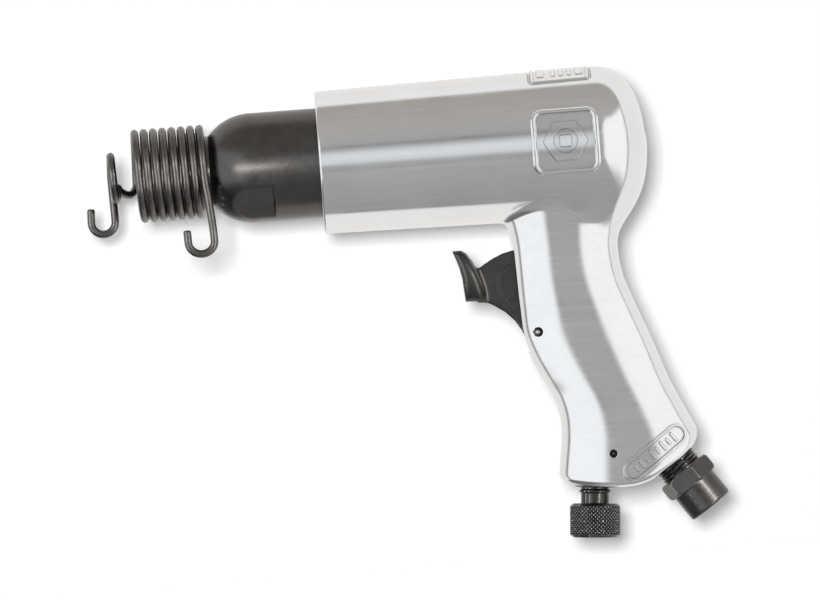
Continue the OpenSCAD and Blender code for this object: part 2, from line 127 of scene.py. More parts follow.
def curve_through(knots):
    """A smooth function through (position, value) knots, whose positions rise."""
    at, value = np.array(knots, float).T
    slope = np.gradient(value, at)
    fine = np.linspace(at[0], at[-1], 400)
    i = np.clip(np.searchsorted(at, fine, side="right") - 1, 0, len(at) - 2)
    gap = at[i + 1] - at[i]
    t = (fine - at[i]) / gap
    table = (
        (2 * t**3 - 3 * t**2 + 1) * value[i]
        + (t**3 - 2 * t**2 + t) * gap * slope[i]
        + (3 * t**2 - 2 * t**3) * value[i + 1]
        + (t**3 - t**2) * gap * slope[i + 1]
    )
    return lambda x: np.interp(x, fine, table)


def polygon_distance(px, pz, outline):
    """Signed distance in a plane to a closed outline, negative inside."""
    best = np.full(px.shape, 1e9)
    inside = np.zeros(px.shape, bool)
    for (ax, az), (bx, bz) in zip(outline, outline[1:] + outline[:1]):
        ex, ez = bx - ax, bz - az
        wx, wz = px - ax, pz - az
        t = np.clip((wx * ex + wz * ez) / (ex * ex + ez * ez), 0, 1)
        best = np.minimum(best, (wx - t * ex) ** 2 + (wz - t * ez) ** 2)
        crosses = (az > pz) != (bz > pz)
        with np.errstate(divide="ignore", invalid="ignore"):
            inside ^= crosses & (px < (bx - ax) * (pz - az) / (bz - az) + ax)
    return np.where(inside, -1, 1) * np.sqrt(best)


def superellipse(u, v, a, b, n):
    """Roughly the distance to a superellipse with half axes a and b."""
    p, q = np.abs(u) / a, np.abs(v) / b
    s = (p**n + q**n) ** (1 / n) + 1e-9
    return (s - 1) / (np.hypot((p / s) ** (n - 1) / a, (q / s) ** (n - 1) / b) + 1e-9)


def gradient(field, p, eps=0.02):
    out = np.empty_like(p)
    for k in range(3):
        step = np.zeros(3)
        step[k] = eps
        out[:, k] = field(*(p + step).T) - field(*(p - step).T)
    return out / (2 * eps)


def settle(field, p, rounds=3, reach=0.6):
    """Moves points along the field's gradient until they lie on its surface."""
    for _ in range(rounds):
        g = gradient(field, p)
        move = (field(*p.T) / np.maximum((g * g).sum(1), 0.05))[:, None] * g
        length = np.linalg.norm(move, axis=1, keepdims=True)
        p = p - move * np.minimum(1, reach / np.maximum(length, 1e-9))
    return p


def field_values(field, axes, block=8):
    """The field on a grid. Only nodes near the surface are worked out finely."""
    shape = [len(a) for a in axes]
    coarse_axes = [a[::block] for a in axes]
    grid = np.meshgrid(*coarse_axes, indexing="ij")
    coarse = field(*[g.ravel() for g in grid]).reshape(grid[0].shape)
    index = [np.minimum((np.arange(n) + block // 2) // block, len(c) - 1)
             for n, c in zip(shape, coarse_axes)]
    values = coarse[np.ix_(*index)]
    near = np.abs(values) < block * (axes[0][1] - axes[0][0]) * 1.5
    i, j, k = np.nonzero(near)
    values[near] = field(axes[0][i], axes[1][j], axes[2][k])
    return values


def surface_net(field, lo, hi, step):
    """Quads round the zero level of a field between the corners lo and hi."""
    axes = [np.arange(a, b + step, step) for a, b in zip(lo, hi)]
    values = field_values(field, axes)
    inside = values < 0
    corners = [(i, j, k) for i in (0, 1) for j in (0, 1) for k in (0, 1)]
    cut = [tuple(slice(o, o + n - 1) for o, n in zip(c, values.shape)) for c in corners]
    count = sum(inside[c].astype(np.int8) for c in cut)
    active = (count > 0) & (count < 8)
    cells = np.argwhere(active)
    number = np.full(active.shape, -1, np.int64)
    number[active] = np.arange(len(cells))
    total = np.zeros((len(cells), 3))
    hits = np.zeros(len(cells))
    for a in corners:
        for axis in range(3):
            if a[axis]:
                continue
            b = tuple(o + (k == axis) for k, o in enumerate(a))
            va = values[tuple((cells + a).T)]
            vb = values[tuple((cells + b).T)]
            crossing = (va < 0) != (vb < 0)
            t = np.where(crossing, va / np.where(crossing, va - vb, 1), 0)
            spot = cells + a + t[:, None] * (np.array(b) - a)
            total += np.where(crossing[:, None], spot, 0)
            hits += crossing
    points = np.array(lo) + step * total / hits[:, None]
    quads = []
    for axis in range(3):
        u, v = [k for k in range(3) if k != axis]
        first = tuple(slice(0, n - (k == axis)) for k, n in enumerate(values.shape))
        second = tuple(slice(k == axis, n) for k, n in enumerate(values.shape))
        edges = np.argwhere(inside[first] != inside[second])
        ok = (edges[:, u] > 0) & (edges[:, v] > 0)
        ok &= (edges[:, u] < active.shape[u]) & (edges[:, v] < active.shape[v])
        edges = edges[ok]
        unit_u, unit_v = np.eye(3, dtype=int)[u], np.eye(3, dtype=int)[v]
        ring = [edges - unit_u - unit_v, edges - unit_v, edges, edges - unit_u]
        quad = np.stack([number[tuple(r.T)] for r in ring], 1)
        outward = inside[tuple(edges.T)] != (axis == 1)
        quads.append(np.where(outward[:, None], quad, quad[:, ::-1]))
    return points, np.concatenate(quads)


def unit_normals(field, points):
    normals = gradient(field, points)
    return normals / (np.linalg.norm(normals, axis=1, keepdims=True) + 1e-12)


def refine(bm, field, angle, detail=None):
    """Halves faces in a detail zone, and those over which the surface turns by more than angle."""
    bm.verts.index_update()
    points = np.array([v.co[:] for v in bm.verts])
    normals = unit_normals(field, points)
    zone = detail(*points.T) if detail else np.zeros(len(points), bool)
    flat = math.cos(math.radians(angle))
    edges = set()
    for face in bm.faces:
        ring = [v.index for v in face.verts]
        around = normals[ring]
        if zone[ring[0]] or (around @ around.T).min() < flat:
            edges.update(face.edges)
    bmesh.ops.subdivide_edges(bm, edges=list(edges), cuts=1, use_grid_fill=True)
    settled = settle(field, np.array([v.co[:] for v in bm.verts]), 3, 0.3)
    for v, co in zip(bm.verts, settled.tolist()):
        v.co = co


def implicit_object(name, field, lo, hi, step, passes):
    """A mesh of a field's surface, finer where it bends, shaded by the field's own normals."""
    points, quads = surface_net(field, lo, hi, step)
    points = settle(field, points, 2, step)
    bm = bmesh.new()
    verts = [bm.verts.new(p) for p in points.tolist()]
    for q in quads.tolist():
        bm.faces.new([verts[i] for i in q])
    for angle, detail in passes:
        refine(bm, field, angle, detail)
    bm.verts.index_update()
    points = np.array([v.co[:] for v in bm.verts])
    faces = [[v.index for v in f.verts] for f in bm.faces]
    bm.free()
    return mesh_from(name, points, faces, unit_normals(field, points))


def fillet_profile(corners, steps=4):
    """An (r, s) outline whose corners (r, s, radius) are rounded where a radius is given."""
    out = []
    for i, corner in enumerate(corners):
        here = np.array(corner[:2], float)
        radius = corner[2] if len(corner) > 2 else 0
        if not radius or i in (0, len(corners) - 1):
            out.append(tuple(here))
            continue
        before = np.array(corners[i - 1][:2]) - here
        after = np.array(corners[i + 1][:2]) - here
        reach = min(radius, np.linalg.norm(before) / 2, np.linalg.norm(after) / 2)
        a = here + before / np.linalg.norm(before) * reach
        b = here + after / np.linalg.norm(after) * reach
        for t in np.linspace(0, 1, steps + 1):
            out.append(tuple((1 - t) ** 2 * a + 2 * t * (1 - t) * here + t * t * b))
    return out


def dense(profile, low, high, step):
    """Splits the stretches of a profile between s = low and s = high into short rows."""
    out = [profile[0]]
    for (r0, s0), (r1, s1) in zip(profile, profile[1:]):
        if min(s0, s1) >= low - 1e-6 and max(s0, s1) <= high + 1e-6:
            n = max(1, math.ceil(math.hypot(r1 - r0, s1 - s0) / step))
            out += [(r0 + (r1 - r0) * i / n, s0 + (s1 - s0) * i / n) for i in range(1, n)]
        out.append((r1, s1))
    return out


def lathe(name, profile, segments, place, warp=None, start=0.0):
    """Turns an (r, s) profile about its axis. warp(r, s, angle) may change the radius r."""
    angle = start + np.arange(segments) * 2 * math.pi / segments
    rows, points, faces = [], [], []
    for r, s in profile:
        if r < 1e-6:
            rows.append([len(points)])
            points.append(place @ Vector((0, 0, s)))
            continue
        radius = np.full(segments, r) if warp is None else warp(np.full(segments, r), s, angle)
        rows.append(range(len(points), len(points) + segments))
        for a, q in zip(angle, radius):
            points.append(place @ Vector((q * math.cos(a), q * math.sin(a), s)))
    for low, high in zip(rows, rows[1:]):
        for i in range(segments):
            j = (i + 1) % segments
            ring = [low[i % len(low)], low[j % len(low)], high[j % len(high)], high[i % len(high)]]
            ring = list(dict.fromkeys(ring))
            if len(ring) > 2:
                faces.append(ring)
    obj = mesh_from(name, points, faces)
    obj.data.set_sharp_from_angle(angle=math.radians(40))
    return obj


def along_x():
    """Places a shape built up +Z along +X, keeping Y: local X turns to -Z."""
    return Matrix.Rotation(math.pi / 2, 4, "Y")


def on_axis(foot, tilt):
    return Matrix.Translation(foot) @ Matrix.Rotation(tilt, 4, "Y")


def swept_wire(name, path, radius, sides=18):
    """A round wire along a path, with slightly rounded ends."""
    path = np.array(path, float)
    tangent = np.gradient(path, axis=0)
    tangent /= np.linalg.norm(tangent, axis=1, keepdims=True)
    side = np.array([0.0, -1.0, 0.0])
    points, faces = [], []
    # (index on the path, shift along it and size of the ring, both in wire radii)
    stations = [(0, -0.45, 0.55), (0, -0.3, 0.85)]
    stations += [(i, 0.0, 1.0) for i in range(len(path))]
    stations += [(-1, 0.3, 0.85), (-1, 0.45, 0.55)]
    turn = np.arange(sides) * 2 * math.pi / sides
    for i, shift, scale in stations:
        t = tangent[i]
        side = side - t * (side @ t)
        side /= np.linalg.norm(side)
        other = np.cross(t, side)
        ring = np.outer(np.cos(turn), side) + np.outer(np.sin(turn), other)
        points += (path[i] + t * shift * radius + ring * radius * scale).tolist()
    n = len(stations)
    for i in range(n - 1):
        for k in range(sides):
            a, b = i * sides + k, i * sides + (k + 1) % sides
            faces.append([a, b, b + sides, a + sides])
    faces.append(list(range(sides))[::-1])
    faces.append([(n - 1) * sides + k for k in range(sides)])
    return mesh_from(name, points, faces)


def finish_piece(obj, body, slot, material, *nodes):
    """Gives a piece its material and body, and hides the CAD nodes that it stands for. The slot argument is
    not used.
    """
    obj.data.materials.clear()
    obj.data.materials.append(material)
    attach(obj, body)
    if nodes:
        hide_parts(*nodes)
    return obj


# ---------------------------------------------------------------- materials

class Nodes:
    """Short names for the shader nodes that the materials use."""

    def __init__(self, name):
        self.material = bpy.data.materials.new(name)
        self.material.use_nodes = True
        self.tree = self.material.node_tree
        self.shader = self.tree.nodes["Principled BSDF"]
        self.place = self.tree.nodes.new("ShaderNodeTexCoord").outputs["Object"]

    def link(self, a, b):
        self.tree.links.new(a, b)

    def stretched(self, x, y, z):
        node = self.tree.nodes.new("ShaderNodeMapping")
        node.inputs["Scale"].default_value = (x, y, z)
        self.link(self.place, node.inputs["Vector"])
        return node.outputs["Vector"]

    def noise(self, scale, detail=4, rough=0.55, vector=None):
        node = self.tree.nodes.new("ShaderNodeTexNoise")
        node.inputs["Scale"].default_value = scale
        node.inputs["Detail"].default_value = detail
        node.inputs["Roughness"].default_value = rough
        self.link(vector or self.place, node.inputs["Vector"])
        return node.outputs["Fac"]

    def ramp(self, value, *stops):
        node = self.tree.nodes.new("ShaderNodeValToRGB")
        ramp = node.color_ramp
        while len(ramp.elements) < len(stops):
            ramp.elements.new(0.5)
        for element, (at, colour) in zip(ramp.elements, stops):
            element.position = at
            element.color = (*colour, 1) if len(colour) == 3 else colour
        self.link(value, node.inputs["Fac"])
        return node.outputs["Color"]

    def between(self, value, low, high, start=0.0, end=1.0):
        node = self.tree.nodes.new("ShaderNodeMapRange")
        limits = {"From Min": start, "From Max": end, "To Min": low, "To Max": high}
        for key, number in limits.items():
            node.inputs[key].default_value = number
        self.link(value, node.inputs["Value"])
        return node.outputs["Result"]

    def math(self, operation, a, b):
        node = self.tree.nodes.new("ShaderNodeMath")
        node.operation = operation
        for socket, value in zip(node.inputs, (a, b)):
            if isinstance(value, (int, float)):
                socket.default_value = value
            else:
                self.link(value, socket)
        return node.outputs[0]

    def mix(self, factor, a, b):
        node = self.tree.nodes.new("ShaderNodeMix")
        node.data_type = "RGBA"
        self.link(factor, node.inputs[0])
        for socket, value in zip((node.inputs[6], node.inputs[7]), (a, b)):
            if isinstance(value, tuple):
                socket.default_value = (*value, 1)
            else:
                self.link(value, socket)
        return node.outputs[2]

    def edges(self, start, end):
        """Near 1 on outer edges, from the mesh's own curvature."""
        shape = self.tree.nodes.new("ShaderNodeNewGeometry")
        return self.between(shape.outputs["Pointiness"], 0, 1, start, end)

    def crevice_shade_mask(self, reach, low, high):
        """0 in narrow corners and holes, 1 in the open: the mask for painted shade there."""
        node = self.tree.nodes.new("ShaderNodeAmbientOcclusion")
        node.samples = 8
        node.inputs["Distance"].default_value = reach
        return self.between(node.outputs["AO"], 0, 1, low, high)

    def bump(self, height, distance, strength=1.0):
        node = self.tree.nodes.new("ShaderNodeBump")
        node.inputs["Strength"].default_value = strength
        node.inputs["Distance"].default_value = distance
        self.link(height, node.inputs["Height"])
        self.link(node.outputs["Normal"], self.shader.inputs["Normal"])

    def set(self, **values):
        for key, value in values.items():
            socket = self.shader.inputs[key.replace("_", " ")]
            if isinstance(value, (int, float)):
                socket.default_value = value
            else:
                self.link(value, socket)
        return self.material


def polished_aluminium():
    m = Nodes("polished_aluminium")
    clouds = m.noise(60, 5)
    streaks = m.noise(900, 3, 0.6, m.stretched(0.06, 1, 1))
    grain = m.noise(2600, 2)
    tone = m.math("ADD", m.math("MULTIPLY", clouds, 0.5), m.math("MULTIPLY", streaks, 0.5))
    polish = m.ramp(tone, (0.3, (0.82, 0.82, 0.825)), (0.7, (0.91, 0.91, 0.91)))
    # painted shade: the base colour turns dark grey in narrow corners and the pin holes
    with_painted_shade = m.mix(m.crevice_shade_mask(0.0022, 0.55, 0.9), (0.10, 0.095, 0.09), polish)
    m.set(Base_Color=with_painted_shade, Metallic=1.0, Roughness=m.between(tone, 0.08, 0.20, 0.3, 0.7))
    m.bump(m.math("ADD", m.math("MULTIPLY", streaks, 0.7), m.math("MULTIPLY", grain, 0.3)),
           0.00001, 0.35)
    return m.material


def black_steel(name="black_oxide_steel", tone=1.0, rough=0.27, wear_and_glint_share=0.7, edge=(0.52, 0.58)):
    m = Nodes(name)
    clouds = m.noise(180, 6, 0.6)
    grain = m.noise(3000, 3, 0.6)
    mixed = m.math("ADD", m.math("MULTIPLY", clouds, 0.55), m.math("MULTIPLY", grain, 0.45))
    base = m.ramp(mixed, (0.33, (0.094 * tone, 0.089 * tone, 0.084 * tone)),
                  (0.67, (0.134 * tone, 0.127 * tone, 0.120 * tone)))
    # outer edges turn light grey: partly real wear of the black oxide, partly a painted highlight for the
    # glints on knurl peaks and thread crests
    wear_and_glint = m.mix(m.math("MULTIPLY", m.edges(*edge), wear_and_glint_share), base, (0.45, 0.44, 0.43))
    m.set(Base_Color=wear_and_glint, Metallic=1.0,
          Roughness=m.between(mixed, rough - 0.05, rough + 0.09, 0.3, 0.7))
    m.bump(mixed, 0.00001, 0.25)
    return m.material


def spring_steel():
    m = Nodes("spring_wire_steel")
    clouds = m.noise(260, 5)
    grain = m.noise(2400, 3)
    mixed = m.math("ADD", m.math("MULTIPLY", clouds, 0.6), m.math("MULTIPLY", grain, 0.4))
    m.set(Base_Color=m.ramp(mixed, (0.32, (0.11, 0.103, 0.096)), (0.68, (0.20, 0.19, 0.18))),
          Metallic=1.0, Roughness=m.between(mixed, 0.26, 0.34, 0.3, 0.7))
    m.bump(clouds, 0.00002, 0.15)
    return m.material


def ground_steel():
    m = Nodes("ground_steel")
    rings = m.noise(1500, 3, 0.5, m.stretched(1, 0.15, 0.15))
    bright = m.ramp(rings, (0.3, (0.56, 0.56, 0.565)), (0.7, (0.76, 0.76, 0.765)))
    # painted shade: the base colour turns near black in the pin's grooves and other narrow corners
    with_painted_shade = m.mix(m.crevice_shade_mask(0.0015, 0.45, 0.85), (0.035, 0.032, 0.03), bright)
    m.set(Base_Color=with_painted_shade, Metallic=1.0, Roughness=m.between(rings, 0.14, 0.28, 0.3, 0.7))
    m.bump(rings, 0.00001, 0.4)
    return m.material


def brass():
    m = Nodes("turned_brass")
    rings = m.noise(1400, 3, 0.5, m.stretched(1, 0.2, 0.2))
    m.set(Base_Color=m.ramp(rings, (0.3, (0.60, 0.44, 0.19)), (0.7, (0.78, 0.60, 0.30))),
          Metallic=1.0, Roughness=m.between(rings, 0.2, 0.34, 0.3, 0.7))
    m.bump(rings, 0.00001, 0.4)
    return m.material


def rubber():
    m = Nodes("nitrile_rubber")
    grain = m.noise(1800, 4)
    m.set(Base_Color=m.ramp(grain, (0.3, (0.012, 0.012, 0.012)), (0.7, (0.028, 0.027, 0.027))),
          Roughness=m.between(grain, 0.5, 0.68, 0.3, 0.7))
    m.bump(grain, 0.00002, 0.4)
    return m.material


MATERIALS = {
    "cast_aluminium": polished_aluminium(),
    "black_steel": black_steel(),
    "trigger": black_steel("trigger_black", 0.70, 0.36, 0.2),
    # the knob's and inlet's large edge shares: worn edges plus a painted highlight on knurl peaks and thread
    # crests
    "knob": black_steel("knob_black", 0.62, 0.28, 0.9),
    "inlet": black_steel("inlet_black", 1.0, 0.27, 0.8, (0.515, 0.56)),
    "spring_steel": spring_steel(),
    "ground_steel": ground_steel(),
    "brass": brass(),
    "rubber": rubber(),
}


def paint_nodes():
    """Every CAD node gets the procedural material of its own slot."""
    for part in frame["record"]["subparts"]:
        obj = frame["nodes"][part["node"]]
        obj.data.materials.clear()
        obj.data.materials.append(MATERIALS[part["material_slot"]])


# ---------------------------------------------------------------- housing

# The grip's front and back edges and half thickness, as (z, value)
GRIP_FRONT = curve_through([
    (-126, 121.0), (-117, 121.7), (-109, 122.8), (-102, 123.8), (-95, 123.9), (-88.5, 122.4),
    (-81, 118.8), (-74, 115.6), (-66, 112.9), (-55, 112.0), (-42, 111.6), (-33, 111.2),
    (-26, 110.2), (-20, 109.4), (-5, 109.2),
])
GRIP_BACK = curve_through([
    (-126, 175.5), (-108, 172.9), (-102.6, 171.3), (-95, 167.8), (-85, 163.2), (-70, 157.9),
    (-56, 152.6), (-47, 149.5), (-38, 148.3), (-31, 148.6), (-24, 150.2), (-14, 153.0), (-5, 154.0),
])
GRIP_HALF = curve_through([
    (-126, 16.6), (-105, 16.5), (-85, 15.9), (-60, 15.3), (-40, 15.3), (-25, 15.8), (-5, 16.0),
])
FOOT_LINE = [(118, -114.5), (128.5, -118.9), (142, -120.6), (151, -119.8), (157.2, -117.0),
             (167.8, -109.6), (171.9, -104.2), (174.5, -99.0)]
SLOT_OUTLINE = [(100, -33.6), (122.6, -33.6), (122.6, -57), (124.8, -60), (124.8, -68),
                (122, -71), (100, -71)]


def cover_field(x, y, z):
    r = np.hypot(y, z)
    taper = np.clip((x - COVER_FRONT_X) / (DOME_X - COVER_FRONT_X), 0, 1)
    side = r - COVER_FRONT_R - (COVER_REAR_R - COVER_FRONT_R) * taper
    dome = superellipse(np.maximum(x - DOME_X, 0), r, DOME_TIP_X - DOME_X, COVER_REAR_R, 2.3)
    return smooth_max(np.where(x > DOME_X, dome, side), COVER_FRONT_X - x, 0.9)


def foot_field(x, z):
    """Positive below the grip's foot, whose edge is convex."""
    out = None
    for (ax, az), (bx, bz) in zip(FOOT_LINE, FOOT_LINE[1:]):
        length = math.hypot(bx - ax, bz - az)
        plane = ((x - ax) * (bz - az) - (z - az) * (bx - ax)) / length
        out = plane if out is None else smooth_max(out, plane, 1.6)
    return out


def grip_field(x, y, z):
    front, back = GRIP_FRONT(z), GRIP_BACK(z)
    section = superellipse(x - (front + back) / 2, y, (back - front) / 2, GRIP_HALF(z), 2.65)
    body = smooth_max(section * 0.94, foot_field(x, z), 2.8)
    return smooth_max(body, z + 6, 2)


def rounded_box(u, v, half_u, half_v, corner):
    qu, qv = np.abs(u) - half_u + corner, np.abs(v) - half_v + corner
    outside = np.hypot(np.maximum(qu, 0), np.maximum(qv, 0))
    return outside + np.minimum(np.maximum(qu, qv), 0) - corner


def ridge(distance, half, soft=0.22):
    """1 within half of the line, 0 outside, with soft shoulders."""
    return 1 - step_up(np.abs(distance), half - soft / 2, half + soft / 2)


def plateau(distance, soft=0.22):
    """1 inside an outline, 0 outside, with a soft wall."""
    return 1 - step_up(distance, -soft / 2, soft / 2)


def side_badge_height(x, z):
    """A shallow square pocket with a raised rim, round a hexagon nut emblem."""
    u, v = x - SIDE_BADGE[0], z - SIDE_BADGE[1]
    edge = rounded_box(u, v, 11.4, 11.2, 3.6)
    height = 0.36 * ridge(edge + 0.5, 0.5, 0.6) - 0.42 * plateau(edge + 1.35, 0.45)
    angle = np.radians(np.abs(np.degrees(np.arctan2(v, u)) % 60 - 30))
    nut = np.hypot(u, v) * np.cos(angle) - 6.7
    height += 0.45 * (plateau(nut) - plateau(np.hypot(u, v) - 4.3))
    height += 0.45 * plateau(rounded_box(u, v, 2.0, 2.0, 0.5))
    return height


def top_badge_height(x, y):
    """A plate with a raised rim and blank marks, on top of the cover."""
    u = x - TOP_BADGE_X
    edge = rounded_box(u, y, 10.1, 14.3, 0.9)
    height = 0.40 * plateau(edge, 0.3) - 0.32 * plateau(edge + 1.0)
    height -= 0.28 * ridge(edge - 0.5, 0.35, 0.3)
    for offset, half in ((-6.6, 1.3), (-2.2, 0.7), (0.6, 0.7), (3.4, 0.7), (6.8, 1.3)):
        height += 0.30 * plateau(rounded_box(u - offset, y, half, 11.4, 0.4))
    return height


def foot_badge_height(x, z):
    """Raised rim of a long label beside the inlet, with a row of short bars."""
    du, dv = x - FOOT_BADGE[0], z - FOOT_BADGE[1]
    cos, sin = math.cos(FOOT_BADGE_TILT), math.sin(FOOT_BADGE_TILT)
    u, v = du * cos + dv * sin, dv * cos - du * sin
    edge = rounded_box(u, v, 13.2, 3.6, 3.5)
    height = 0.38 * ridge(edge + 0.35, 0.35) - 0.12 * plateau(edge + 0.7)
    for i, offset in enumerate(np.arange(-8.4, 9, 2.4)):
        height += 0.34 * plateau(rounded_box(u - offset, v, 0.42, 1.3 + 0.5 * (i % 2), 0.3), 0.2)
    return height


def in_detail(x, y, z):
    """The zones of the housing that carry fine relief."""
    side = (np.abs(x - SIDE_BADGE[0]) < 13) & (np.abs(z - SIDE_BADGE[1]) < 13) & (np.abs(y) > 18)
    top = (np.abs(x - TOP_BADGE_X) < 12) & (np.abs(y) < 16) & (z > 20)
    foot = (np.abs(y) > 11) & (np.hypot((x - FOOT_BADGE[0]) * 0.6, z - FOOT_BADGE[1]) < 10.5)
    return side | top | foot


def rod(x, y, z, foot, direction, radius, low, high):
    """A round hole along a direction in the XZ plane, between two distances from foot."""
    dx, dz = direction
    along = (x - foot[0]) * dx + (z - foot[1]) * dz
    across = (x - foot[0]) * dz - (z - foot[1]) * dx
    return np.maximum(np.hypot(across, y) - radius, np.maximum(low - along, along - high))


def cavity_field(x, y, z):
    """Negative in the housing's bores, slot and passages."""
    r = np.hypot(y, z)
    up = (math.sin(REG_TILT), math.cos(REG_TILT))
    out = (math.sin(INLET_TILT), math.cos(INLET_TILT))
    reg, inlet = (REG_FOOT.x, REG_FOOT.z), (INLET_FOOT.x, INLET_FOOT.z)
    slot = np.maximum(polygon_distance(x, z, SLOT_OUTLINE), np.abs(y) - 6.2)
    parts = [
        np.maximum(r - 21.0, x - 98),
        np.maximum(r - 18.62, x - 120),
        np.maximum(r - 18.25, np.maximum(118 - x, x - 134.55)),
        np.maximum(r - 13.5, np.maximum(133 - x, x - 147)),
        slot,
        np.maximum(np.hypot(y, z - THROTTLE_Z) - 6.05, np.maximum(121 - x, x - 145.1)),
        rod(x, y, z, reg, up, 7.1, -9, 46.3),
        rod(x, y, z, reg, up, 4.0, 40, 68),
        rod(x, y, z, inlet, out, 7.85, -13, 20),
        rod(x, y, z, inlet, out, 5.0, -36, 0),
    ]
    return np.minimum.reduce(parts)


def pin_hole_field(x, z):
    trigger = np.hypot(x - PIVOT[0], z - PIVOT[1]) - TRIGGER_HOLE_R
    regulator = np.hypot(x - REGULATOR_PIN[0], z - REGULATOR_PIN[1]) - REGULATOR_HOLE_R
    return np.minimum(trigger, regulator)


def housing_field(x, y, z):
    cover, grip = cover_field(x, y, z), grip_field(x, y, z)
    # a tight corner in front of the grip, and a broad hollow behind it
    blend = 2.4 + 8.6 * step_up(x, 128, 146)
    outer = smooth_min(cover, grip, blend)
    side = np.abs(y) > 9
    outer = outer - np.where(side & (z > -14) & (z < 15), side_badge_height(x, z), 0)
    outer = outer - np.where(z > 16, top_badge_height(x, y), 0)
    outer = outer - np.where(side & (z < -90), foot_badge_height(x, z), 0)
    outer = smooth_max(outer, -cavity_field(x, y, z), 0.55)
    return smooth_max(outer, -pin_hole_field(x, z), 0.15)


def make_housing():
    lo, hi = (45.5, -29, -123), (174.5, 29, 29)
    passes = [(14, in_detail), (12, in_detail), (18, None)]
    obj = implicit_object("housing_casting", housing_field, lo, hi, 1.05, passes)
    obj.visible_diffuse = False  # its mirror patches don't light the backdrop
    return finish_piece(obj, "tool_body", "cast_aluminium", MATERIALS["cast_aluminium"], "housing")


# ---------------------------------------------------------------- barrel

def barrel_warp(r, s, angle):
    """Cuts the two wrench flats and raises the nose's spring thread."""
    y, z = np.sin(angle), -np.cos(angle)  # the lathe's own X axis turns to -Z
    if FLAT_FRONT_X < s < FLAT_REAR_X + 0.4 and r[0] > FLAT_HALF * 0.9:
        reach = np.abs(y + z) / math.sqrt(2)
        flat = FLAT_HALF / np.maximum(reach, 1e-3)
        flat = flat + 3 * step_up(np.full_like(r, s), FLAT_REAR_X - 0.1, FLAT_REAR_X + 0.4)
        return smooth_min(r, flat, 0.22)
    if NOSE_X + 0.8 < s < NECK_X - 0.2 and r[0] > 12.5:
        phi = np.degrees(np.arctan2(-y, z))
        phase = ((s - COIL_FRONT_X) / COIL_PITCH - phi / 360) % 1
        bump = ridge(phase - 0.5, 0.16, 0.12)
        fade = step_up(s, NOSE_X + 0.8, NOSE_X + 2) * (1 - step_up(s, NECK_X - 1.2, NECK_X - 0.2))
        return r + THREAD_HEIGHT * bump * fade
    return r


def make_barrel():
    ball_start = math.acos(NECK_R / BARREL_R)
    ball = [(BARREL_R * math.cos(a), BALL_X - BARREL_R * math.sin(a))
            for a in np.linspace(ball_start, 0, 26)]
    front = fillet_profile([
        (5.15, 39.0), (5.15, 0.0, 0.3), (6.2, NOSE_X, 0.3), (NOSE_ROOT_R - 0.7, NOSE_X, 0.4),
        (NOSE_ROOT_R, NOSE_X + 0.7, 0.3), (NOSE_ROOT_R, NECK_X, 0.3), (NECK_R, NECK_X + 0.5, 0.6),
        ball[0],
    ])
    rear = fillet_profile([
        ball[-1], (BARREL_R, 70, 0.4), (17.6, 72, 0.4), (17.6, 93, 0.3), (20.2, 93, 0.3),
        (20.2, 96.6, 0.2), (18.4, 96.6), (18.5, 119, 0.5), (17.5, 120, 0.3), (9.55, 120),
        (9.55, 39.0), (5.15, 39.0),
    ])
    profile = front[:-1] + ball + rear[1:]
    profile = dense(profile, NOSE_X + 0.7, NECK_X, 0.22)
    profile = dense(profile, 9, 31.5, 0.4)
    profile = dense(profile, 31.5, 120, 6)
    rows = [(BARREL_R, s) for s in np.arange(BALL_X + 0.35, 31.2, 0.35)] + [(BARREL_R, 31.2)]
    at = next(i for i, (r, s) in enumerate(profile) if s > BALL_X - 1e-6 and r > 19) + 1
    profile = profile[:at] + rows + [p for p in profile[at:] if not (p[1] < 31.3 and p[0] > 17)]
    obj = lathe("barrel_body", profile, 240, along_x(), barrel_warp)
    return finish_piece(obj, "tool_body", "black_steel", MATERIALS["black_steel"], "barrel")


# ---------------------------------------------------------------- retainer spring

def arc_points(centre, radius, start, end, n):
    return [(centre[0] + radius * math.cos(a), centre[1] + radius * math.sin(a))
            for a in np.radians(np.linspace(start, end, n))]


def smoothed(path, rounds=2):
    """Corner-cutting, which keeps the two ends."""
    path = np.array(path, float)
    for _ in range(rounds):
        quarter, later = path[:-1] * 0.75 + path[1:] * 0.25, path[:-1] * 0.25 + path[1:] * 0.75
        path = np.concatenate([path[:1], np.stack([quarter, later], 1).reshape(-1, 3), path[-1:]])
    return path


def retainer_path():
    rear = [(-0.5, -COIL_R, -20.8)]
    rear += [(x - 0.3 * (8.8 - x) / 4.3, -COIL_R, z)
             for x, z in arc_points((4.5, -24.4), 4.3, -170, 0, 12)]
    rear += [(8.5, -COIL_R, -19), (7.7, -COIL_R, -10), (7.0, -COIL_R, -4)]
    turns = np.radians(np.arange(7 * 360 + 90, -109, -7.5))
    coils = [(COIL_FRONT_X + COIL_PITCH * a / (2 * math.pi), -COIL_R * math.sin(a),
              COIL_R * math.cos(a)) for a in turns]
    bridge = [(-19.4, 12.9, -6.2), (-21.5, 10.6, -5.9), (-23.3, 8.6, -4.6)]
    loop = [(-24 - 2 * i / 30, -7.65 * math.sin(a), 7.65 * math.cos(a))
            for i, a in enumerate(np.radians(np.linspace(-112, -450, 31)))]
    front = [(-25.9, 7.65, -5), (-25.7, 7.65, -10)]
    front += [(x, 7.65, z) for x, z in arc_points((-29.8, -15), 4.2, 0, -180, 12)]
    front += [(-33.8, 7.65, -10.7)]
    return smoothed(rear + coils + bridge + loop + front, 1)


def make_retainer():
    obj = swept_wire("retainer_wire", retainer_path(), WIRE_R)
    steel = MATERIALS["spring_steel"]
    return finish_piece(obj, "retainer", "spring_steel", steel, "retainer_spring")


# ---------------------------------------------------------------- trigger

